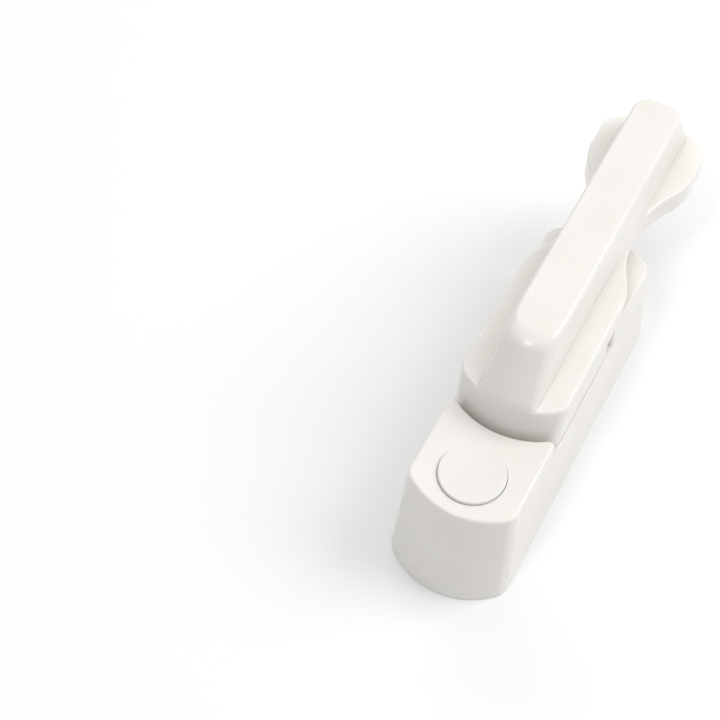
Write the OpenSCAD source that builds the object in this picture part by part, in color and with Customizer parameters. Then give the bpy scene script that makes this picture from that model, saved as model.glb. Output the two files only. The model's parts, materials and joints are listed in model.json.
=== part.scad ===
// Swivelling sash blocker for a hinged plastic window or door.
// A hollow body screws to the fixed frame. A cranked arm turns on it and
// reaches over the edge of the opening sash. Millimetres.
// Z = 0 is the mounting plane, the origin is on the swivel axis, and the arm
// points along +Y when it is folded in line with the body.

/* [Shown] */

// Sub-part to draw

/* [Body] */

// Length of the body at the mounting plane, over the rounded ends
body_length = 71.4; // [70:0.2:76]
// Width of the body at the mounting plane
body_width = 21.4; // [21.2:0.1:23]
// Width of the body at its top face
body_top_width = 19.0; // [18.6:0.1:19.6]
// Height of the two end blocks
body_height = 20.8; // [20.4:0.1:21.6]
// Radius of the rounded ends
end_radius = 14.0; // [13:0.5:16]
// Lean of the rounded ends towards the middle, in degrees
end_lean = 10.4; // [6:0.2:12]
// Thickness of the side and end walls
wall = 2.0; // [1.6:0.05:2.1]
// Thickness of the top of the end blocks
roof = 1.9; // [1.4:0.1:2.6]

/* [Seat for the arm] */

// Height of the lowered middle that the arm turns on
seat_height = 17.0; // [15.5:0.1:17.5]
// Radius of the hollowed faces of the end blocks, about the swivel axis
seat_radius = 14.8; // [14.6:0.1:15.4]
// Thickness of the seat and of the hollowed faces
seat_thickness = 1.9; // [1.5:0.1:2.5]

/* [Swivel] */

// Diameter of the boss that guides the arm's post
pivot_boss_diameter = 18.2; // [17.4:0.1:19.4]
// Height of the boss's lower face above the mounting plane
pivot_boss_height = 8.5; // [7.5:0.1:10]
// Diameter of the arm's post
post_diameter = 12.0; // [10:0.2:13]
// Clearance all round the post
post_clearance = 0.06; // [0.02:0.01:0.1]
// Diameter of the steel washer
washer_diameter = 16.0; // [14:0.2:16.2]
// Thickness of the steel washer
washer_thickness = 1.5; // [1:0.1:1.8]
// Shank diameter of the swivel screw
screw_diameter = 3.5; // [3:0.1:4.2]
// Length of the swivel screw under its head
screw_length = 13.0; // [11:0.5:15]
// Head diameter of the swivel screw
screw_head_diameter = 7.0; // [6.4:0.1:8]
// Head height of the swivel screw
screw_head_height = 2.4; // [2:0.1:2.8]

/* [Fixing points] */

// Distance between the two fixing bores
fixing_spacing = 47.6; // [46.4:0.1:48.4]
// Diameter of the fixing bosses
fixing_boss_diameter = 8.7; // [8:0.1:9.2]
// Diameter of the fixing bores
fixing_bore_diameter = 5.3; // [4.5:0.1:5.6]
// Height of the fixing bosses' lower faces above the mounting plane
fixing_boss_height = 9.5; // [8:0.1:11]
// Thickness of the stiffening ribs
rib = 2.0; // [1.2:0.1:2.4]

/* [Cover caps] */

// Diameter of the cover caps
cap_diameter = 11.2; // [10.8:0.1:11.4]
// Clearance all round the caps
cap_clearance = 0.06; // [0.02:0.01:0.1]
// Depth of the recess under each cap
cap_recess_depth = 6.2; // [5.4:0.1:6.8]
// How far a cap stands above the end block
cap_rise = 0.5; // [0.3:0.1:0.6]
// Thickness of the cap's disc
cap_thickness = 1.9; // [1.4:0.1:2.2]
// Thickness of the cap's skirt and of the recess's sleeve
cap_skirt = 0.8; // [0.6:0.05:1]

/* [Arm] */

// Distance from the swivel axis to the arm's tip
arm_reach = 56.6; // [55:0.2:58]
// Height of the arm's shoulders
arm_height = 26.7; // [26.2:0.1:28]
// Thickness of the arm's plate at its edge
arm_edge = 4.8; // [4.4:0.1:5]
// Width of the arm over the hub
hub_width = 18.8; // [18:0.1:19]
// Radius of the hub at the seat
hub_radius = 14.3; // [13.8:0.1:14.4]
// Radius of the hub's upper edge
hub_top_radius = 13.4; // [13:0.1:13.8]
// Distance from the swivel axis to where the waist begins
waist_start = 17.0; // [16:0.5:18.5]
// Width of the arm at its waist
waist_width = 10.6; // [10.2:0.1:12]
// Radius of the waist's hollows
waist_radius = 22.0; // [21:0.5:24]
// Width of the foot
foot_width = 19.4; // [18.6:0.1:20]
// Radius of the rounded tip
tip_radius = 13.0; // [12:0.5:14]
// Thickness of the arm's rim
arm_wall = 1.5; // [1.2:0.1:1.8]
// Thickness of the arm's plate
arm_plate = 1.8; // [1.4:0.1:2]

/* [Grip] */

// Height of the top of the grip
grip_height = 36.0; // [34:0.2:38]
// Width of the grip where it meets the plate
grip_base_width = 10.4; // [10:0.1:10.6]
// Width of the grip at its top
grip_top_width = 8.6; // [8:0.1:9.4]
// Radius of the sloping front at its top edge, about the swivel axis
grip_front_radius = 5.3; // [4.9:0.1:6]
// Radius of the sloping far end at its top edge, about the centre of the tip
grip_tip_radius = 8.1; // [7.5:0.1:9]
// Width of the groove inside the grip
groove_width = 5.0; // [3:0.1:5.4]

/* [Foot socket] */

// Distance from the swivel axis to the foot socket
socket_reach = 46.6; // [45.6:0.1:47]
// Outside diameter of the foot socket's boss
socket_boss_diameter = 9.6; // [9.2:0.1:10]
// Diameter of the foot socket
socket_diameter = 7.4; // [6.4:0.1:7.6]
// Depth of the foot socket
socket_depth = 9.4; // [6:0.2:10]
// Thickness of the two ribs that tie the socket's boss to the rim
socket_rib = 2.5; // [1.6:0.1:3]

/* [Hidden] */

$fn = 96;

ivory = [0.955, 0.945, 0.915];
zinc = [0.76, 0.79, 0.82];
nickel = [0.74, 0.74, 0.72];

eps = 0.01;
far = 200;
near_side = -1;
far_side = 1;

half_base = body_width / 2;
half_top = body_top_width / 2;
side_drop = (half_base - half_top) / body_height;
end_axis = body_length / 2 - end_radius / cos(end_lean);
core_half = end_axis - body_height * tan(end_lean);
roof_under = body_height - roof;
seat_under = seat_height - seat_thickness;

arm_under = arm_height - arm_edge;
arm_ceiling = arm_height - arm_plate;
seat_gap = 0.2;
hub_under = seat_height + seat_gap;
tip_centre = arm_reach - tip_radius;
waist_reach = sqrt(pow(waist_radius, 2)
    - pow(waist_radius - (hub_width - waist_width) / 2, 2));
waist_centre = waist_start + waist_reach;

post_radius = post_diameter / 2;
end_play = 0.1;
post_under = pivot_boss_height - end_play;
washer_under = post_under - washer_thickness;
thread_clearance = 0.03;
washer_bore_play = 0.25;
tip_cone = 1.5;

cup_radius = cap_diameter / 2 + cap_clearance;
cup_under = body_height - cap_recess_depth;
cup_floor = 1.5;
cap_shoulder = 0.3;
skirt_gap = 1.4;
skirt_under = cup_under + skirt_gap;

core_inner = post_radius + arm_wall;
core_outer = hub_radius - arm_wall;
core_bar = 8;
hollow_start = hub_radius + arm_wall;
groove_step = 32;
groove_rise = 4.6;
groove_step_rise = 2.6;
grip_setback = 0.35;

// Slab of the body's side profile, drafted, with every wall moved in by inset
module drafted_sides(inset, top) {
    rotate([90, 0, 0])
        linear_extrude(height = far, center = true)
            polygon([
                [-half_base + inset, 0],
                [half_base - inset, 0],
                [half_base - inset - side_drop * top, top],
                [-half_base + inset + side_drop * top, top]
            ]);
}

// Rounded ends that lean inwards, joined by a straight core
module leaning_ends(inset) {
    for (side = [near_side, far_side])
        translate([0, side * end_axis, 0])
            rotate([side * end_lean, 0, 0])
                cylinder(r = end_radius - inset, h = 2 * far, center = true);
    cube([far, 2 * core_half, far], center = true);
}

module body_form(inset, top) {
    intersection() {
        drafted_sides(inset, top);
        leaning_ends(inset);
    }
}

// Space inside the body: high under the end blocks, lower under the seat
module body_cavity() {
    difference() {
        translate([0, 0, -eps])
            body_form(wall, roof_under + eps);
        translate([0, 0, seat_under])
            cylinder(r = seat_radius + seat_thickness, h = body_height);
    }
}

// Boss, cap sleeve and cross ribs round one fixing bore
module fixing_post(side) {
    drop = roof_under - fixing_boss_height + eps;
    translate([0, side * fixing_spacing / 2, 0]) {
        translate([0, 0, fixing_boss_height])
            cylinder(d = fixing_boss_diameter, h = drop);
        translate([0, 0, cup_under - cup_floor])
            cylinder(r = cup_radius + cap_skirt, h = cap_recess_depth);
        translate([-half_base, -rib / 2, fixing_boss_height])
            cube([body_width, rib, drop]);
        translate([-rib / 2, side > 0 ? 0 : -far, fixing_boss_height])
            cube([rib, far, drop]);
    }
}

module fixing_cuts(side) {
    translate([0, side * fixing_spacing / 2, 0]) {
        translate([0, 0, -eps])
            cylinder(d = fixing_bore_diameter, h = body_height);
        translate([0, 0, cup_under])
            cylinder(r = cup_radius, h = body_height);
    }
}

module body() {
    boss_top = seat_height - eps;
    color(ivory)
    difference() {
        union() {
            difference() {
                body_form(0, body_height);
                body_cavity();
            }
            intersection() {
                body_form(wall / 2, body_height - roof / 2);
                union() {
                    for (side = [near_side, far_side])
                        fixing_post(side);
                    translate([0, 0, pivot_boss_height])
                        cylinder(d = pivot_boss_diameter, h = boss_top - pivot_boss_height);
                    // Web from the near fixing boss to the swivel boss
                    translate([-rib / 2, -fixing_spacing / 2, fixing_boss_height])
                        cube([rib, fixing_spacing / 2, boss_top - fixing_boss_height]);
                }
            }
        }
        translate([0, 0, seat_height])
            cylinder(r = seat_radius, h = body_height);
        translate([0, 0, -eps])
            cylinder(r = post_radius + post_clearance, h = body_height);
        for (side = [near_side, far_side])
            fixing_cuts(side);
    }
}

// Plan of the arm beyond the hub, with its edge moved in by inset
module arm_plan(inset) {
    difference() {
        union() {
            translate([-hub_width / 2 + inset, 0])
                square([hub_width - 2 * inset, tip_centre]);
            intersection() {
                translate([0, tip_centre])
                    circle(r = tip_radius - inset);
                translate([-foot_width / 2 + inset, waist_centre])
                    square([foot_width - 2 * inset, far]);
            }
        }
        for (side = [-1, 1])
            translate([side * (waist_width / 2 + waist_radius), waist_centre])
                circle(r = waist_radius + inset);
    }
}

// Round hub, drafted, with its two flanks flush with the body
module hub() {
    intersection() {
        translate([0, 0, hub_under])
            cylinder(r1 = hub_radius, r2 = hub_top_radius, h = arm_height - hub_under);
        translate([-hub_width / 2, -far / 2, 0])
            cube([hub_width, far, far]);
    }
}

// Two core-outs under the hub, one before and one behind the post
module hub_core() {
    difference() {
        intersection() {
            translate([0, 0, hub_under - eps])
                cylinder(r = core_outer, h = arm_ceiling - hub_under);
            translate([-hub_width / 2 + arm_wall, -far / 2, 0])
                cube([hub_width - 2 * arm_wall, far, far]);
        }
        cylinder(r = core_inner, h = far);
        translate([-far / 2, -core_bar / 2, 0])
            cube([far, core_bar, far]);
    }
}

// Grip: drafted flanks, a front that slopes up from the hub's edge and a far
// end that slopes up from the tip
module grip() {
    base = arm_height - eps;
    lift = grip_height - base;
    intersection() {
        rotate([90, 0, 0])
            linear_extrude(height = far, center = true)
                polygon([
                    [-grip_base_width / 2, base],
                    [grip_base_width / 2, base],
                    [grip_top_width / 2, grip_height],
                    [-grip_top_width / 2, grip_height]
                ]);
        union() {
            translate([0, 0, base])
                cylinder(r1 = hub_top_radius - grip_setback, r2 = grip_front_radius, h = lift);
            translate([-far / 2, 0, base])
                cube([far, tip_centre, lift]);
            translate([0, tip_centre, base])
                cylinder(r1 = tip_radius - grip_setback, r2 = grip_tip_radius, h = lift);
        }
    }
}

// Groove up inside the grip, deeper towards the foot, and past the socket's
// boss to a far wall that slopes like the grip's far end
module groove() {
    reach = groove_step - hollow_start;
    rise = arm_plate + groove_rise;
    translate([-groove_width / 2, hollow_start, arm_under - eps])
        cube([groove_width, reach + eps, rise]);
    difference() {
        intersection() {
            translate([-groove_width / 2, groove_step, arm_under - eps])
                cube([groove_width, far, rise + groove_step_rise]);
            union() {
                translate([0, tip_centre, arm_under - eps])
                    cylinder(r1 = tip_radius - arm_wall, r2 = grip_tip_radius - arm_wall,
                        h = grip_height - arm_under);
                translate([-far / 2, 0, 0])
                    cube([far, tip_centre, far]);
            }
        }
        translate([0, socket_reach, 0])
            cylinder(d = socket_boss_diameter, h = far);
    }
}

module arm_hollow() {
    difference() {
        translate([0, 0, arm_under - eps])
            linear_extrude(height = arm_ceiling - arm_under)
                arm_plan(arm_wall);
        cylinder(r = hollow_start, h = far);
        translate([0, socket_reach, 0])
            cylinder(d = socket_boss_diameter, h = far);
        translate([-far / 2, socket_reach - socket_rib / 2, 0])
            cube([far, socket_rib, far]);
    }
}

module arm() {
    socket_top = arm_under + socket_depth;
    color(ivory)
    difference() {
        union() {
            hub();
            translate([0, 0, arm_under])
                linear_extrude(height = arm_edge)
                    arm_plan(0);
            grip();
            translate([0, 0, post_under])
                cylinder(r = post_radius, h = arm_under - post_under);
        }
        hub_core();
        arm_hollow();
        groove();
        translate([0, socket_reach, arm_under - eps])
            cylinder(d = socket_diameter, h = socket_top - arm_under);
        translate([0, 0, post_under - eps])
            cylinder(r = screw_diameter / 2 + thread_clearance, h = screw_length);
    }
}

module washer() {
    color(zinc)
    translate([0, 0, washer_under])
        difference() {
            cylinder(d = washer_diameter, h = washer_thickness);
            translate([0, 0, -eps])
                cylinder(r = screw_diameter / 2 + washer_bore_play,
                    h = washer_thickness + 2 * eps);
        }
}

// Pan head with a cross recess, plain shank and blunt point, head downwards
module screw() {
    head_radius = screw_head_diameter / 2;
    rim = 0.8;
    dome_rise = screw_head_height - rim;
    dome_radius = (pow(head_radius, 2) + pow(dome_rise, 2)) / (2 * dome_rise);
    recess_depth = 1.7;
    recess_reach = 4.2;
    recess_slot = 1.0;
    shank_radius = screw_diameter / 2;
    point_radius = 0.5;
    color(nickel)
    translate([0, 0, washer_under])
        mirror([0, 0, 1])
            difference() {
                union() {
                    rotate_extrude()
                        intersection() {
                            square([head_radius, screw_head_height]);
                            translate([0, screw_head_height - dome_radius])
                                circle(r = dome_radius);
                        }
                    rotate_extrude()
                        polygon([
                            [0, -screw_length],
                            [point_radius, -screw_length],
                            [shank_radius, tip_cone - screw_length],
                            [shank_radius, rim / 2],
                            [0, rim / 2]
                        ]);
                }
                for (turn = [0, 90])
                    rotate([0, 0, turn])
                        translate([-recess_reach / 2, -recess_slot / 2,
                            screw_head_height - recess_depth])
                            cube([recess_reach, recess_slot, screw_head_height]);
            }
}

// Push-in cover cap: disc, rounded shoulder and skirt
module cap(side) {
    disc_under = body_height + cap_rise - cap_thickness;
    radius = cap_diameter / 2;
    translate([0, side * fixing_spacing / 2, 0])
        difference() {
            union() {
                translate([0, 0, skirt_under])
                    cylinder(r = radius, h = disc_under - skirt_under + eps);
                translate([0, 0, disc_under])
                    cylinder(r = radius, h = cap_thickness - cap_shoulder);
                translate([0, 0, disc_under + cap_thickness - cap_shoulder])
                    cylinder(r1 = radius, r2 = radius - cap_shoulder, h = cap_shoulder);
            }
            translate([0, 0, skirt_under - eps])
                cylinder(r = radius - cap_skirt, h = disc_under - skirt_under + eps);
        }
}

module cap_near() {
    color(ivory) cap(near_side);
}

module cap_far() {
    color(ivory) cap(far_side);
}

body();
arm();
washer();
screw();
cap_near();
cap_far();
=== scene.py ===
"""Swivelling sash blocker: warm white mouldings, a zinc washer and a swivel screw, built round the frame.

Each piece is written as a distance field in millimetres, negative inside, whose edges and inner corners
are rounded as on the moulding. The field is meshed on a grid, thinned, and put back on its exact surface.
"""
import json
import math

import bpy
import numpy as np
from mathutils import Matrix, Vector


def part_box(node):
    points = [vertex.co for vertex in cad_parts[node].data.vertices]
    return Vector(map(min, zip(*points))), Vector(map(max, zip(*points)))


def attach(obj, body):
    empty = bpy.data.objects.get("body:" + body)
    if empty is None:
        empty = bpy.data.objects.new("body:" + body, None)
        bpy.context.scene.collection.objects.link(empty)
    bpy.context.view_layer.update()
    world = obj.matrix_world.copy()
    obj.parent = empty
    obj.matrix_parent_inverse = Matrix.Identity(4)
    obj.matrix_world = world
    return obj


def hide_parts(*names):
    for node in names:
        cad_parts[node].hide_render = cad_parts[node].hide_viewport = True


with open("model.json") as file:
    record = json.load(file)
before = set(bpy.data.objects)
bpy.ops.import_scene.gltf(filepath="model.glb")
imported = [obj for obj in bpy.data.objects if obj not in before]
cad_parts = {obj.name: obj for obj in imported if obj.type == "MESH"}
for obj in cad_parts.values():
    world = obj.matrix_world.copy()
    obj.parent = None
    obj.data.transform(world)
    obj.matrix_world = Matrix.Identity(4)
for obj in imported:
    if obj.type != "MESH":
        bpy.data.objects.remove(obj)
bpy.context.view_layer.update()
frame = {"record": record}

MM = 0.001


# ---- Sizes, read from the frame where it has them ----

def box_mm(node):
    """Lowest and highest corner of a CAD node, in millimetres."""
    low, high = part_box(node)
    return np.array(low) / MM, np.array(high) / MM


mounts = {mount["name"]: mount for mount in frame["record"]["mounts"]}
body_low, body_high = box_mm("body")
arm_low, arm_high = box_mm("arm")
washer_low, washer_high = box_mm("washer")
screw_low, screw_high = box_mm("screw")
cap_low, cap_high = box_mm("cap_near")

BODY_HEIGHT = body_high[2]
HALF_BASE = body_high[0]
HALF_TOP = 9.5
SIDE_DROP = (HALF_BASE - HALF_TOP) / BODY_HEIGHT
END_RADIUS = 14.0
END_LEAN = math.radians(10.4)
END_AXIS = body_high[1] - END_RADIUS / math.cos(END_LEAN)
WALL = 2.0
ROOF_UNDER = BODY_HEIGHT - 1.9

SEAT_HEIGHT = 17.0
SEAT_RADIUS = 14.8
SEAT_THICKNESS = 1.9
SEAT_UNDER = SEAT_HEIGHT - SEAT_THICKNESS
BODY_CORNER = 0.9
BLOCK_CORNER = 1.6
BLOCK_EDGE = 0.55
SEAT_EDGE = 0.2
ROOM_CORNER = 0.8
BOSS_FILLET = 0.7

PIVOT_BOSS_RADIUS = 9.1
PIVOT_BOSS_HEIGHT = 8.5
POST_RADIUS = 6.0
POST_BORE_RADIUS = 6.06
POST_UNDER = arm_low[2]
POST_FILLET = 0.2

WASHER_RADIUS = washer_high[0]
WASHER_UNDER = washer_low[2]
WASHER_TOP = washer_high[2]
WASHER_HOLE_RADIUS = 2.0
WASHER_UPPER_EDGE = 0.12
HEAD_RADIUS = screw_high[0]
HEAD_HEIGHT = WASHER_UNDER - screw_low[2]
HEAD_DOME_RADIUS = 5.6
HEAD_SHOULDER = 0.9
RECESS_DEPTH = 1.7
RECESS_EDGE = 0.12
RECESS_CORNER = 0.35
WING_REACH = 2.25
WING_TAPER = 0.45
SLOT_HALF_WIDTH = 0.74
SLOT_TAPER = 0.14
PIT_RADIUS = 1.05
PIT_TAPER = 0.35
SHANK_RADIUS = 1.75
SHANK_LENGTH = screw_high[2] - WASHER_UNDER
SHANK_TOP = WASHER_UNDER + SHANK_LENGTH
THREAD_PITCH = 1.3
THREAD_DEPTH = 0.42
THREAD_STEEPNESS = 0.75
POINT_LENGTH = 1.5
POINT_TAPER = 1.1
PILOT_CLEARANCE = 0.03

FIXING_REACH = mounts["fixing_holes"]["dims"]["spacing_y_mm"] / 2
FIXING_BORE_RADIUS = mounts["fixing_holes"]["dims"]["hole_r_mm"]
FIXING_BOSS_HEIGHT = mounts["fixing_holes"]["pos_m"][2] / MM
FIXING_BOSS_RADIUS = 4.35
RIB = 2.0

CAP_RADIUS = cap_high[0]
CAP_TOP = cap_high[2]
CAP_UNDER = cap_low[2]
CAP_DISC_UNDER = CAP_TOP - 1.9
CAP_SKIRT = 0.8
CAP_LOWER_EDGE = 0.2
CUP_RADIUS = CAP_RADIUS + 0.06
CUP_UNDER = BODY_HEIGHT - 6.2
CUP_FLOOR = 1.5

ARM_REACH = arm_high[1]
ARM_HEIGHT = 26.7
ARM_UNDER = ARM_HEIGHT - 4.8
ARM_CEILING = ARM_HEIGHT - 1.8
ARM_WALL = 1.5
HUB_UNDER = SEAT_HEIGHT + 0.2
HUB_HALF_WIDTH = 9.4
HUB_RADIUS = 14.3
HUB_TOP_RADIUS = 13.4
HUB_CORNER = 1.0
HUB_LOWER_EDGE = 0.12
CORE_BAR_HALF = 4.0
PLATE_EDGE = 0.6
HOLLOW_START = HUB_RADIUS + ARM_WALL
WAIST_HALF_WIDTH = 5.3
WAIST_RADIUS = 22.0
WAIST_START = 17.0
WAIST_REACH = math.sqrt(WAIST_RADIUS**2 - (WAIST_RADIUS - HUB_HALF_WIDTH + WAIST_HALF_WIDTH) ** 2)
WAIST_CENTRE = WAIST_START + WAIST_REACH
FOOT_HALF_WIDTH = arm_high[0]
TIP_RADIUS = 13.0
TIP_CENTRE = ARM_REACH - TIP_RADIUS
FOOT_CORNER = 1.0
WAIST_CORNER = 1.6

GRIP_HEIGHT = arm_high[2]
GRIP_HALF_BASE = 5.2
GRIP_HALF_TOP = 4.3
GRIP_FRONT_TOP = 5.7
GRIP_TIP_TOP = 8.1
GRIP_FRONT_OVERLAP = 0.4
GRIP_FRONT_CORNER = 1.3
GRIP_TIP_CORNER = 1.6
GRIP_SOFTNESS = 0.8
NOSE_SOFTNESS = 1.7
NOSE_SOFT_START = -4.5
NOSE_SOFT_END = 0.0
GROOVE_HALF_WIDTH = 2.5
GROOVE_STEP = 32.0
GROOVE_TOP = 28.3
GROOVE_DEEP_TOP = 30.9
GROOVE_CROWN = 0.6

SOCKET_REACH = mounts["foot_socket"]["pos_m"][1] / MM
SOCKET_RADIUS = mounts["foot_socket"]["dims"]["r_mm"]
SOCKET_TOP = ARM_UNDER + mounts["foot_socket"]["dims"]["length_mm"]
SOCKET_BOSS_RADIUS = 4.8
SOCKET_RIB = 2.5

# Ordinary roundings of edges and inner corners, from the crispest to the softest
CRISP = 0.1
SLIGHT = 0.15
FINE = 0.25
SMALL = 0.3
SOFT = 0.4
ROUND = 0.5


# ---- Distance fields: one function per piece, in millimetres ----

def cut(a, b, radius=0.0):
    """What two shapes share, with the edge between them rounded."""
    over = np.hypot(np.maximum(a + radius, 0), np.maximum(b + radius, 0))
    return np.minimum(-radius, np.maximum(a, b)) + over


def join(a, b, radius=0.0):
    """Two shapes together, with the corner between them filled."""
    return -cut(-a, -b, radius)


def carve(solid, space, radius=0.0):
    """A shape with a space taken out of it, and the space's mouth rounded."""
    return cut(solid, -space, radius)


def ramp(value, low, high, start, end):
    """start at low, end at high, straight between and level outside."""
    share = np.clip((value - low) / (high - low), 0, 1)
    return start + (end - start) * share


def body_field(x, y, z):
    """Hollow base: drafted sides, leaning round ends, two end blocks and a lowered round seat."""
    across = np.abs(x)
    along = np.abs(y)
    turn = np.hypot(x, y)
    side = (across - HALF_BASE + SIDE_DROP * z) * math.cos(math.atan(SIDE_DROP))
    beyond = (along - END_AXIS) * math.cos(END_LEAN) + z * math.sin(END_LEAN)
    end = np.where(beyond > 0, np.hypot(x, beyond), across) - END_RADIUS

    shell = cut(side, end, BODY_CORNER)
    middle = cut(shell, z - SEAT_HEIGHT, SEAT_EDGE)
    blocks = cut(cut(shell, SEAT_RADIUS - turn, BLOCK_CORNER), z - BODY_HEIGHT, BLOCK_EDGE)
    outer = np.maximum(join(middle, blocks, FINE), shell)
    outer = cut(outer, -z, FINE)

    room = cut(cut(side + WALL, end + WALL, ROOM_CORNER), z - ROOF_UNDER, ROUND)
    under_seat = cut(turn - SEAT_RADIUS - SEAT_THICKNESS, SEAT_UNDER - z, ROUND)
    room = carve(room, under_seat, SOFT)
    solid = carve(outer, room, FINE)

    solid = join(solid, np.maximum(body_bosses(x, y, z), outer + WALL / 2), BOSS_FILLET)
    around = np.hypot(x, along - FIXING_REACH)
    solid = carve(solid, turn - POST_BORE_RADIUS, FINE)
    solid = carve(solid, around - FIXING_BORE_RADIUS, SMALL)
    cup = cut(around - CUP_RADIUS, CUP_UNDER - z, SMALL)
    return carve(solid, cup, CRISP)


def body_bosses(x, y, z):
    """What stands inside the base: swivel boss, fixing bosses, cap sleeves, ribs and the near web."""
    across = np.abs(x)
    past = np.abs(y) - FIXING_REACH
    around = np.hypot(x, past)
    cross_rib = np.abs(past) - RIB / 2
    end_rib = np.maximum(across - RIB / 2, -past)
    web = np.maximum(across - RIB / 2, np.maximum(y, -FIXING_REACH - y))
    plan = around - FIXING_BOSS_RADIUS
    for wall in (cross_rib, end_rib, web):
        plan = join(plan, wall, SOFT)
    posts = cut(plan, FIXING_BOSS_HEIGHT - z, FINE)
    sleeve = cut(around - CUP_RADIUS - CAP_SKIRT, CUP_UNDER - CUP_FLOOR - z, SOFT)
    swivel = cut(np.hypot(x, y) - PIVOT_BOSS_RADIUS, PIVOT_BOSS_HEIGHT - z, SMALL)
    return join(join(posts, sleeve, SMALL), swivel, SOFT)


def arm_plan(x, y):
    """Outline of the arm beyond its hub: straight, pinched at the waist, then the wide round foot."""
    across = np.abs(x)
    half = np.where(y > WAIST_CENTRE, FOOT_HALF_WIDTH, HUB_HALF_WIDTH)
    tip = np.where(y > TIP_CENTRE, np.hypot(x, y - TIP_CENTRE), across) - TIP_RADIUS
    scoop = WAIST_RADIUS - np.hypot(across - WAIST_HALF_WIDTH - WAIST_RADIUS, y - WAIST_CENTRE)
    return cut(cut(across - half, tip, FOOT_CORNER), scoop, WAIST_CORNER)


def sloping_end(x, y, z, base, top):
    """Cone about the upright line y = 0 that closes one end of the grip, on its -Y side."""
    slope = (base - top) / (GRIP_HEIGHT - ARM_HEIGHT)
    reach = base - slope * (z - ARM_HEIGHT)
    return (np.where(y < 0, np.hypot(x, y), np.abs(x)) - reach) * math.cos(math.atan(slope))


def grip_field(x, y, z):
    """Raised grip: drafted flanks, a front that slopes up from the hub and a far end that slopes down."""
    slope = (GRIP_HALF_BASE - GRIP_HALF_TOP) / (GRIP_HEIGHT - ARM_HEIGHT)
    flank = (np.abs(x) - GRIP_HALF_BASE + slope * (z - ARM_HEIGHT)) * math.cos(math.atan(slope))
    front = sloping_end(x, y, z, HUB_TOP_RADIUS + GRIP_FRONT_OVERLAP, GRIP_FRONT_TOP)
    tip = sloping_end(x, TIP_CENTRE - y, z, TIP_RADIUS, GRIP_TIP_TOP)
    softness = ramp(y, NOSE_SOFT_START, NOSE_SOFT_END, NOSE_SOFTNESS, GRIP_SOFTNESS)
    sides = cut(cut(flank, front, GRIP_FRONT_CORNER), tip, GRIP_TIP_CORNER)
    return cut(sides, z - GRIP_HEIGHT, softness)


def arm_outside(x, y, z):
    """Arm without its hollows: round hub with two flat flanks, plate, grip and post."""
    turn = np.hypot(x, y)
    draft = (HUB_RADIUS - HUB_TOP_RADIUS) / (ARM_HEIGHT - HUB_UNDER)
    hub = cut(turn - HUB_RADIUS + (z - HUB_UNDER) * draft, np.abs(x) - HUB_HALF_WIDTH, HUB_CORNER)
    walls = np.minimum(hub, np.maximum(arm_plan(x, y), -y))

    upper = join(z - ARM_HEIGHT, grip_field(x, y, z), FINE)
    plate = cut(cut(walls, upper, PLATE_EDGE), ARM_UNDER - z, SMALL)
    foot_of_hub = np.maximum(cut(hub, HUB_UNDER - z, HUB_LOWER_EDGE), z - ARM_CEILING)
    solid = np.maximum(join(plate, foot_of_hub, SOFT), walls)
    post = np.maximum(cut(turn - POST_RADIUS, POST_UNDER - z, SMALL), z - ARM_CEILING)
    return join(solid, post, POST_FILLET)


def foot_hollow(x, y, z):
    """Space under the arm's foot and up inside its grip, round the socket's boss and its two ribs."""
    from_boss = np.hypot(x, y - SOCKET_REACH) - SOCKET_BOSS_RADIUS
    kept = join(from_boss, np.abs(y - SOCKET_REACH) - SOCKET_RIB / 2, ROUND)
    hollow = cut(arm_plan(x, y) + ARM_WALL, HOLLOW_START - np.hypot(x, y), ROUND)
    hollow = carve(cut(hollow, z - ARM_CEILING, SOFT), kept, SMALL)
    groove = np.minimum(
        groove_field(x, y, z, HOLLOW_START, GROOVE_TOP),
        groove_field(x, y, z, GROOVE_STEP, GROOVE_DEEP_TOP),
    )
    return join(hollow, carve(groove, from_boss, SMALL), FINE)


def hub_pockets(x, y, z):
    """The two core-outs under the hub, before and behind its post."""
    turn = np.hypot(x, y)
    ring = cut(turn - HUB_RADIUS + ARM_WALL, POST_RADIUS + ARM_WALL - turn, SOFT)
    beside_bar = cut(np.abs(x) - HUB_HALF_WIDTH + ARM_WALL, CORE_BAR_HALF - np.abs(y), SOFT)
    return cut(cut(ring, beside_bar, SOFT), z - ARM_CEILING, SOFT)


def arm_field(x, y, z):
    """Arm: its outside, less the hollows, the foot's socket and the screw's pilot hole."""
    socket = cut(np.hypot(x, y - SOCKET_REACH) - SOCKET_RADIUS, z - SOCKET_TOP, ROUND)
    pilot = cut(np.hypot(x, y) - SHANK_RADIUS - PILOT_CLEARANCE, z - POST_UNDER - SHANK_LENGTH, CRISP)
    solid = arm_outside(x, y, z)
    for space in (foot_hollow(x, y, z), socket, hub_pockets(x, y, z)):
        solid = carve(solid, space, FINE)
    return carve(solid, pilot, SLIGHT)


def groove_field(x, y, z, start, top):
    """One depth of the groove up inside the grip, with a far wall that slopes like the grip's end."""
    reach = ramp(z, ARM_UNDER, GRIP_HEIGHT, TIP_RADIUS - ARM_WALL, GRIP_TIP_TOP - ARM_WALL)
    far_wall = np.hypot(x, np.maximum(y - TIP_CENTRE, 0)) - reach
    length = np.maximum(start - y, far_wall)
    return cut(cut(np.abs(x) - GROOVE_HALF_WIDTH, length, SOFT), z - top, GROOVE_CROWN)


def cap_field(side):
    """Push-in cover cap on one side: round-edged disc and a skirt."""
    def field(x, y, z):
        around = np.hypot(x, y - side * FIXING_REACH)
        solid = cut(cut(around - CAP_RADIUS, z - CAP_TOP, SMALL), CAP_UNDER - z, CAP_LOWER_EDGE)
        inside = cut(around - CAP_RADIUS + CAP_SKIRT, z - CAP_DISC_UNDER, SMALL)
        return carve(solid, inside, SLIGHT)
    return field


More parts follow.
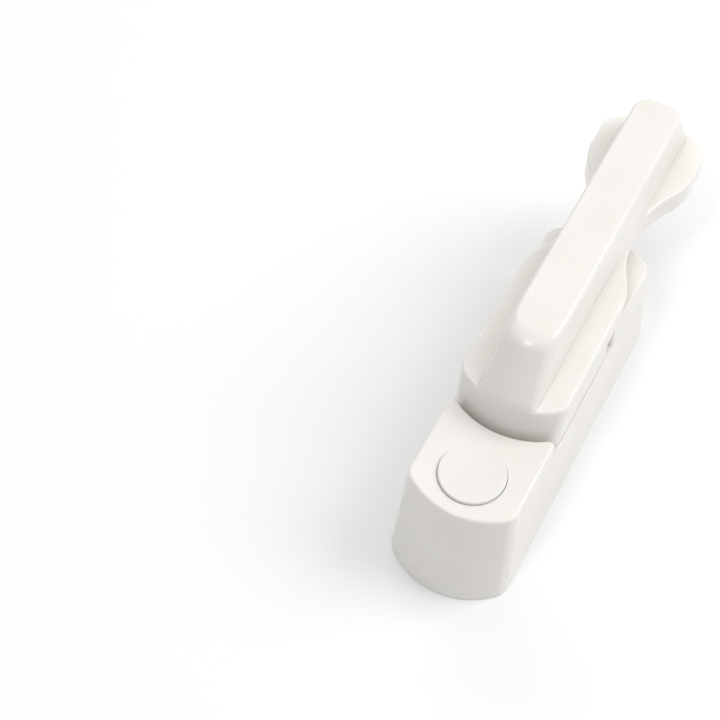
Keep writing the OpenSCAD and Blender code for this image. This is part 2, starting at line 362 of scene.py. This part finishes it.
def washer_field(x, y, z):
    """Blanked steel washer: rolled edge below, sharper edge above."""
    turn = np.hypot(x, y)
    disc = cut(cut(turn - WASHER_RADIUS, WASHER_UNDER - z, SMALL), z - WASHER_TOP, WASHER_UPPER_EDGE)
    return carve(disc, turn - WASHER_HOLE_RADIUS, SLIGHT)


def screw_head(x, y, z):
    """Pan head, top downwards, with a tapered cross recess."""
    turn = np.hypot(x, y)
    up = WASHER_UNDER - z
    dome = np.hypot(turn, up - HEAD_HEIGHT + HEAD_DOME_RADIUS) - HEAD_DOME_RADIUS
    head = cut(cut(turn - HEAD_RADIUS, dome, HEAD_SHOULDER), -up, CRISP)
    sunk = HEAD_HEIGHT - up
    wing = WING_REACH - WING_TAPER * sunk
    slot = SLOT_HALF_WIDTH - SLOT_TAPER * sunk
    cross = join(
        cut(np.abs(x) - wing, np.abs(y) - slot, FINE),
        cut(np.abs(y) - wing, np.abs(x) - slot, FINE),
        RECESS_CORNER,
    )
    pit = turn - PIT_RADIUS + PIT_TAPER * sunk
    recess = cut(join(cross, pit, SMALL), sunk - RECESS_DEPTH, SMALL)
    return carve(head, recess, RECESS_EDGE)


def screw_field(x, y, z):
    """Pan-head tapping screw, head down: the shank's helical thread fades into a blunt point."""
    turns = z / THREAD_PITCH - np.arctan2(y, x) / (2 * math.pi)
    ridge = np.abs(2 * (turns - np.floor(turns)) - 1)
    radius = SHANK_RADIUS - THREAD_DEPTH * (1 - ridge**2)
    radius = radius - ramp(z, SHANK_TOP - POINT_LENGTH, SHANK_TOP, 0, POINT_TAPER)
    shank = np.maximum((np.hypot(x, y) - radius) * THREAD_STEEPNESS, z - SHANK_TOP + CRISP)
    return np.minimum(screw_head(x, y, z), np.maximum(shank, WASHER_UNDER - ROUND - z))


# ---- Meshing ----

# An uneven share of a step, so that no flat face lies along a plane of the grid
GRID_MARGIN = 1.37
SPARE_CELLS = 4


def gradient(field, points, reach=0.01):
    """Unit outward direction of the field at each point."""
    slope = np.empty_like(points)
    for axis in range(3):
        shift = np.zeros(3)
        shift[axis] = reach
        ahead = field(*(points + shift).T)
        behind = field(*(points - shift).T)
        slope[:, axis] = (ahead - behind) / (2 * reach)
    length = np.linalg.norm(slope, axis=1, keepdims=True)
    return slope / np.maximum(length, 1e-9)


def onto_surface(field, points, limit, rounds=3):
    """Points moved along the field's direction until they lie on its surface."""
    points = points.copy()
    for _ in range(rounds):
        away = np.clip(field(*points.T), -limit, limit)
        points -= away[:, None] * gradient(field, points)
    return points


def grid_edges(inside):
    """For each axis: the grid edges that cross the surface, and whether each starts inside."""
    for axis in range(3):
        first = np.take(inside, range(inside.shape[axis] - 1), axis)
        second = np.take(inside, range(1, inside.shape[axis]), axis)
        starts = np.argwhere(first != second)
        yield axis, starts, inside[tuple(starts.T)]


def surface_net(field, low, high, step):
    """Quads on the field's surface: one vertex in each grid cell that it crosses."""
    origin = low - GRID_MARGIN * step
    count = np.ceil((high - low) / step).astype(int) + SPARE_CELLS
    lines = [origin[a] + step * np.arange(count[a]) for a in range(3)]
    values = field(*np.meshgrid(*lines, indexing="ij", sparse=True))
    values = np.broadcast_to(values, tuple(count))
    crossings, normals, cells, turned = [], [], [], []
    for axis, starts, leaving in grid_edges(values < 0):
        ends = starts.copy()
        ends[:, axis] += 1
        near = values[tuple(starts.T)]
        far = values[tuple(ends.T)]
        points = origin + step * starts
        points[:, axis] += step * near / (near - far)
        crossings.append(points)
        normals.append(gradient(field, points))
        side_a, side_b = (axis + 1) % 3, (axis + 2) % 3
        ring = np.repeat(starts[:, None, :], 4, axis=1)
        ring[:, (1, 2), side_a] -= 1
        ring[:, (2, 3), side_b] -= 1
        cells.append(np.ravel_multi_index(tuple(np.moveaxis(ring, 2, 0)), tuple(count)))
        turned.append(~leaving)
    crossings, normals = np.concatenate(crossings), np.concatenate(normals)
    cells, turned = np.concatenate(cells), np.concatenate(turned)
    used, quads = np.unique(cells, return_inverse=True)
    quads = quads.reshape(-1, 4)
    vertices = cell_vertices(crossings, normals, quads, len(used))
    corner = origin + step * np.stack(np.unravel_index(used, tuple(count)), axis=1)
    vertices = np.clip(vertices, corner, corner + step)
    quads[turned] = quads[turned, ::-1]
    return onto_surface(field, vertices, step / 2), quads


def cell_vertices(crossings, normals, quads, count):
    """The point of each cell that fits the planes of its crossings best, drawn to their middle."""
    pull = 0.05
    cell = quads.ravel()
    number = np.bincount(cell, minlength=count)

    def total(per_crossing):
        return np.bincount(cell, np.repeat(per_crossing, 4), minlength=count)

    middle = np.stack([total(crossings[:, a]) for a in range(3)], axis=1) / number[:, None]
    height = np.einsum("ij,ij->i", normals, crossings)
    system = np.empty((count, 3, 3))
    target = np.empty((count, 3))
    for a in range(3):
        target[:, a] = total(normals[:, a] * height) + pull * middle[:, a]
        for b in range(3):
            system[:, a, b] = total(normals[:, a] * normals[:, b]) + (pull if a == b else 0)
    return np.linalg.solve(system, target[:, :, None])[:, :, 0]


def quad_mesh(name, points, quads):
    """A Blender mesh, in metres, of points and quads."""
    mesh = bpy.data.meshes.new(name)
    mesh.vertices.add(len(points))
    mesh.vertices.foreach_set("co", (points * MM).ravel())
    mesh.loops.add(quads.size)
    mesh.loops.foreach_set("vertex_index", quads.ravel())
    mesh.polygons.add(len(quads))
    mesh.polygons.foreach_set("loop_start", np.arange(0, quads.size, 4))
    mesh.update(calc_edges=True)
    mesh.validate()
    return mesh


def thinned(piece, share):
    """The piece's mesh with only that share of its faces, flat places first."""
    thin = piece.modifiers.new("thin", "DECIMATE")
    thin.ratio = share
    thin.use_collapse_triangulate = True
    evaluated = piece.evaluated_get(bpy.context.evaluated_depsgraph_get())
    mesh = bpy.data.meshes.new_from_object(evaluated)
    piece.modifiers.clear()
    return mesh


def corner_samples(faces, step, most=0.4):
    """One point per triangle corner, drawn a little towards the triangle's middle."""
    inward = faces.mean(axis=1, keepdims=True) - faces
    length = np.linalg.norm(inward, axis=2, keepdims=True)
    sample = faces + inward * np.minimum(step / np.maximum(length, 1e-9), most)
    return sample.reshape(-1, 3)


def corner_normals(field, faces, sample, least=0.5):
    """The field's direction at each corner, or the triangle's own where the two disagree."""
    normals = gradient(field, sample)
    flat = np.cross(faces[:, 1] - faces[:, 0], faces[:, 2] - faces[:, 0])
    flat /= np.maximum(np.linalg.norm(flat, axis=1, keepdims=True), 1e-12)
    flat = np.repeat(flat, 3, axis=0)
    astray = np.einsum("ij,ij->i", normals, flat) < least
    normals[astray] = flat[astray]
    return normals


def finish_mesh(mesh, field, step):
    """Puts the vertices on the exact surface, and gives each corner its normal and its two masks."""
    points = np.empty(len(mesh.vertices) * 3)
    mesh.vertices.foreach_get("co", points)
    points = onto_surface(field, points.reshape(-1, 3) / MM, step / 4)
    mesh.vertices.foreach_set("co", (points * MM).ravel())
    mesh.update()
    corners = np.empty(len(mesh.loops), int)
    mesh.loops.foreach_get("vertex_index", corners)
    faces = points[corners].reshape(-1, 3, 3)
    sample = corner_samples(faces, step)
    normals = corner_normals(field, faces, sample)
    mesh.polygons.foreach_set("use_smooth", np.ones(len(mesh.polygons), bool))
    mesh.normals_split_custom_set(normals)
    add_mask(mesh, "edge", edge_mask(field, sample, normals))
    add_mask(mesh, "nook", nook_mask(field, sample, normals))


def add_mask(mesh, name, values):
    """Keeps one number per triangle corner, for the materials to read."""
    layer = mesh.attributes.new(name, "FLOAT", "CORNER")
    layer.data.foreach_set("value", values.astype(np.float32))


def edge_mask(field, points, normals, reach=0.5, gain=1.6):
    """1 on an outer edge, 0 on a flat face: how far the surface falls away to each side."""
    helper = np.where(np.abs(normals[:, 2:]) < 0.8, [[0.0, 0.0, 1.0]], [[1.0, 0.0, 0.0]])
    first = np.cross(normals, helper)
    first /= np.linalg.norm(first, axis=1, keepdims=True)
    second = np.cross(normals, first)
    fall = np.zeros(len(points))
    for direction in (first, second, first + second, first - second):
        direction = direction / np.linalg.norm(direction, axis=1, keepdims=True)
        both = [field(*(points + sign * reach * direction).T) for sign in (-1, 1)]
        fall = np.maximum(fall, np.minimum(both[0] + both[1], 2 * reach) / (2 * reach))
    return np.clip(fall * gain, 0, 1)


def nook_mask(field, points, normals, reach=2.5):
    """1 deep in a corner or a hollow, 0 in the open."""
    room = field(*(points + reach * normals).T) / reach
    return np.clip(1 - room, 0, 1)


def build_piece(name, field, low, high, step, share):
    """One named object from a field."""
    points, quads = surface_net(field, np.array(low), np.array(high), step)
    piece = bpy.data.objects.new(name, quad_mesh(name, points, quads))
    bpy.context.scene.collection.objects.link(piece)
    piece.data = thinned(piece, share)
    piece.data.name = name
    finish_mesh(piece.data, field, step)
    print(name, len(quads), "quads ->", len(piece.data.polygons), "triangles")
    return piece


# ---- Materials ----

IVORY = (0.835, 0.812, 0.775, 1)
IVORY_WARM = (0.805, 0.775, 0.735, 1)
CAP_IVORY = (0.825, 0.80, 0.77, 1)
CAP_IVORY_WARM = (0.79, 0.765, 0.73, 1)
# painted shade: warm tan for deep corners and hollows
PAINTED_SHADE_TAN = (0.76, 0.70, 0.61, 1)
# partly wear, partly a painted highlight: lighter cream for outer edges
EDGE_WEAR_AND_HIGHLIGHT_CREAM = (0.87, 0.855, 0.81, 1)
PLASTIC_IOR = 1.49
RED_BLEEDS_FURTHEST = (1.0, 0.62, 0.38)
ZINC_DULL = (0.75, 0.77, 0.80, 1)
ZINC_BRIGHT = (0.86, 0.87, 0.88, 1)
ZINC_WORN = (0.90, 0.91, 0.92, 1)
NICKEL_DULL = (0.70, 0.71, 0.70, 1)
NICKEL_BRIGHT = (0.80, 0.80, 0.78, 1)
# painted shade: darker nickel for the cross recess and corners
NICKEL_PAINTED_SHADE = (0.42, 0.43, 0.42, 1)
PAPER = (0.90, 0.90, 0.90, 1)
PAPER_COOL = (0.91, 0.91, 0.915, 1)


class Nodes:
    """Short way to write a node tree."""

    def __init__(self, material):
        material.use_nodes = True
        self.tree = material.node_tree
        self.shader = self.tree.nodes["Principled BSDF"]

    def add(self, kind, inputs=None, **settings):
        node = self.tree.nodes.new(kind)
        for key, value in settings.items():
            setattr(node, key, value)
        for key, value in (inputs or {}).items():
            self.put(node, key, value)
        return node

    def put(self, node, key, value):
        if isinstance(value, bpy.types.NodeSocket):
            self.tree.links.new(value, node.inputs[key])
        else:
            node.inputs[key].default_value = value

    def noise(self, place, scale, detail=2.0, roughness=0.5):
        inputs = {"Vector": place, "Scale": scale, "Detail": detail, "Roughness": roughness}
        return self.add("ShaderNodeTexNoise", inputs).outputs["Fac"]

    def mix(self, share, a, b):
        node = self.add("ShaderNodeMix", data_type="RGBA")
        self.put(node, 0, share)
        self.put(node, 6, a)
        self.put(node, 7, b)
        return node.outputs[2]

    def spread(self, value, low, high, to_low, to_high):
        """to_low where the value is low, to_high where it is high, even between."""
        inputs = {"Value": value, "From Min": low, "From Max": high, "To Min": to_low, "To Max": to_high}
        return self.add("ShaderNodeMapRange", inputs).outputs[0]

    def share(self, value, low, high, most=1.0):
        """A mixing share: none where the value is low, most where it is high."""
        return self.spread(value, low, high, 0.0, most)

    def maths(self, operation, a, b):
        node = self.add("ShaderNodeMath", operation=operation)
        self.put(node, 0, a)
        self.put(node, 1, b)
        return node.outputs[0]

    def mask(self, name):
        return self.add("ShaderNodeAttribute", attribute_name=name).outputs["Fac"]

    def bump(self, height, strength, distance, under=None):
        inputs = {"Height": height, "Strength": strength, "Distance": distance}
        if under is not None:
            inputs["Normal"] = under
        return self.add("ShaderNodeBump", inputs).outputs["Normal"]

    def place(self):
        return self.add("ShaderNodeTexCoord").outputs["Object"]


def plastic(name, pale, warm):
    """Warm white moulded plastic: faint mottling, lighter edges that are partly wear and partly a painted
    highlight, painted warm shade in nooks, fine satin grain.
    """
    material = bpy.data.materials.new(name)
    nodes = Nodes(material)
    place = nodes.place()
    edge, nook = nodes.mask("edge"), nodes.mask("nook")
    cloud = nodes.noise(place, scale=70, detail=3.0)
    colour = nodes.mix(nodes.share(cloud, 0.3, 0.7), pale, warm)
    # painted shade: warm tan mixed in deep in corners and hollows, where shade and bounced light fall
    colour = nodes.mix(nodes.share(nook, 0.5, 1.0, most=0.22), colour, PAINTED_SHADE_TAN)
    # lighter cream along outer edges: partly wear, partly a painted highlight
    colour = nodes.mix(nodes.share(edge, 0.2, 1.0, most=0.4), colour, EDGE_WEAR_AND_HIGHLIGHT_CREAM)
    nodes.put(nodes.shader, "Base Color", colour)
    patch = nodes.noise(place, scale=260)
    rough = nodes.spread(patch, 0.2, 0.8, 0.21, 0.27)
    rough = nodes.maths("SUBTRACT", rough, nodes.share(edge, 0.2, 1.0, most=0.03))
    nodes.put(nodes.shader, "Roughness", rough)
    sink = nodes.bump(nodes.noise(place, scale=95, detail=1.0), strength=0.35, distance=0.25 * MM)
    grain = nodes.bump(nodes.noise(place, scale=5200), strength=0.10, distance=0.02 * MM, under=sink)
    nodes.put(nodes.shader, "Normal", grain)
    nodes.put(nodes.shader, "IOR", PLASTIC_IOR)
    nodes.put(nodes.shader, "Subsurface Weight", 0.12)
    nodes.put(nodes.shader, "Subsurface Radius", RED_BLEEDS_FURTHEST)
    nodes.put(nodes.shader, "Subsurface Scale", 2.5 * MM)
    return material


def zinc():
    """Zinc-plated washer: pale blue-grey spangle, fine scratches, worn bright edges."""
    material = bpy.data.materials.new("washer_zinc_look")
    nodes = Nodes(material)
    place = nodes.place()
    edge = nodes.mask("edge")
    cloud = nodes.noise(place, scale=420, detail=4.0)
    colour = nodes.mix(nodes.share(cloud, 0.3, 0.7), ZINC_DULL, ZINC_BRIGHT)
    colour = nodes.mix(nodes.share(edge, 0.2, 1.0, most=0.7), colour, ZINC_WORN)
    nodes.put(nodes.shader, "Base Color", colour)
    stretch = nodes.add("ShaderNodeMapping", {"Vector": place, "Scale": (0.12, 1.0, 1.0)})
    scratch = nodes.noise(stretch.outputs[0], scale=3800, detail=3.0)
    nodes.put(nodes.shader, "Roughness", nodes.spread(scratch, 0.3, 0.7, 0.26, 0.44))
    nodes.put(nodes.shader, "Normal", nodes.bump(scratch, strength=0.18, distance=0.02 * MM))
    nodes.put(nodes.shader, "Metallic", 1.0)
    return material


def nickel():
    """Bright plated screw: cloudy sheen, a soft pebble from the plating, and painted shade darkening the
    recess and corners.
    """
    material = bpy.data.materials.new("screw_nickel_look")
    nodes = Nodes(material)
    place = nodes.place()
    nook = nodes.mask("nook")
    cloud = nodes.noise(place, scale=900, detail=4.0)
    colour = nodes.mix(nodes.share(cloud, 0.3, 0.7), NICKEL_DULL, NICKEL_BRIGHT)
    # painted shade: darker nickel mixed in deep in the cross recess and corners
    colour = nodes.mix(nodes.share(nook, 0.5, 1.0, most=0.5), colour, NICKEL_PAINTED_SHADE)
    nodes.put(nodes.shader, "Base Color", colour)
    nodes.put(nodes.shader, "Roughness", nodes.spread(cloud, 0.3, 0.7, 0.14, 0.26))
    pebble = nodes.noise(place, scale=2600)
    nodes.put(nodes.shader, "Normal", nodes.bump(pebble, strength=0.12, distance=0.03 * MM))
    nodes.put(nodes.shader, "Metallic", 1.0)
    return material


# ---- The object ----

def dress(piece, body, node, material):
    """Gives a piece its material and its body, and hides the CAD node that it stands for."""
    piece.data.materials.append(material)
    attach(piece, body)
    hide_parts(node)


def build_object():
    """The six pieces. The last two numbers of each are its grid step in millimetres and its thinning."""
    base = build_piece("base_shell", body_field, body_low, body_high, 0.3, 0.3)
    base_look = plastic("body_plastic_look", IVORY, IVORY_WARM)
    dress(base, "base", "body", base_look)
    arm = build_piece("swing_arm", arm_field, arm_low, arm_high, 0.3, 0.3)
    arm_look = plastic("arm_plastic_look", IVORY, IVORY_WARM)
    dress(arm, "swivel", "arm", arm_look)
    cap_look = plastic("cap_plastic_look", CAP_IVORY, CAP_IVORY_WARM)
    for side, node in ((-1, "cap_near"), (1, "cap_far")):
        low, high = box_mm(node)
        cap = build_piece("cover_" + node, cap_field(side), low, high, 0.2, 0.4)
        dress(cap, "base", node, cap_look)
    washer = build_piece("swivel_washer", washer_field, washer_low, washer_high, 0.15, 0.3)
    dress(washer, "swivel", "washer", zinc())
    screw = build_piece("swivel_screw", screw_field, screw_low, screw_high, 0.1, 0.4)
    dress(screw, "swivel", "screw", nickel())


# ---- Camera, floor and light ----

ROOM_LIGHT = 0.31


def make_camera():
    """The photograph's view. It is centred between two copies, so this one stands to the right."""
    target = Vector((-27.8, -9.3, 15.0)) * MM
    distance = 255.7 * MM
    azimuth, elevation, roll = (math.radians(angle) for angle in (27.34, 55.64, 0.69))
    data = bpy.data.cameras.new("camera")
    data.sensor_width = 36.0
    data.lens = 74.5
    data.clip_start = 0.01
    camera = bpy.data.objects.new("camera", data)
    turn = (
        Matrix.Rotation(azimuth, 4, "Z")
        @ Matrix.Rotation(math.pi / 2 - elevation, 4, "X")
        @ Matrix.Rotation(roll, 4, "Z")
    )
    camera.matrix_world = Matrix.Translation(target) @ turn @ Matrix.Translation((0, 0, distance))
    bpy.context.scene.collection.objects.link(camera)
    bpy.context.scene.camera = camera


def make_floor():
    """Plain pale floor, so wide that its edge is far off."""
    half = 3.0
    corners = [(-half, -half, 0), (half, -half, 0), (half, half, 0), (-half, half, 0)]
    mesh = bpy.data.meshes.new("floor")
    mesh.from_pydata(corners, [], [(0, 1, 2, 3)])
    floor = bpy.data.objects.new("floor", mesh)
    bpy.context.scene.collection.objects.link(floor)
    material = bpy.data.materials.new("floor_paper")
    nodes = Nodes(material)
    shade = nodes.noise(nodes.place(), scale=8)
    nodes.put(nodes.shader, "Base Color", nodes.mix(shade, PAPER, PAPER_COOL))
    nodes.put(nodes.shader, "Roughness", 0.9)
    nodes.put(nodes.shader, "Specular IOR Level", 0.2)
    mesh.materials.append(material)


def soft_light(name, place, size, power):
    """A square soft box that faces the object: side in metres, power in watts."""
    data = bpy.data.lights.new(name, "AREA")
    data.size = size
    data.energy = power
    light = bpy.data.objects.new(name, data)
    light.location = place
    light.rotation_euler = (-Vector(place)).to_track_quat("-Z", "Y").to_euler()
    bpy.context.scene.collection.objects.link(light)


def make_light():
    """Soft studio light: a pale room, three soft boxes and a small one for the glint on the grip's nose."""
    world = bpy.data.worlds.new("studio")
    world.use_nodes = True
    background = world.node_tree.nodes["Background"]
    background.inputs["Color"].default_value = (1.0, 1.0, 1.0, 1)
    background.inputs["Strength"].default_value = ROOM_LIGHT
    bpy.context.scene.world = world
    soft_light("overhead", (0.0, 0.0, 0.9), size=1.0, power=3.6)
    soft_light("right_box", (0.55, 0.35, 0.65), size=0.6, power=4.2)
    soft_light("back_left_box", (-0.5, 0.6, 0.5), size=0.6, power=1.7)
    soft_light("spark", (-0.11, -0.46, 0.76), size=0.12, power=0.9)
    bpy.context.scene.view_settings.view_transform = "Standard"


make_camera()
make_floor()
make_light()
build_object()
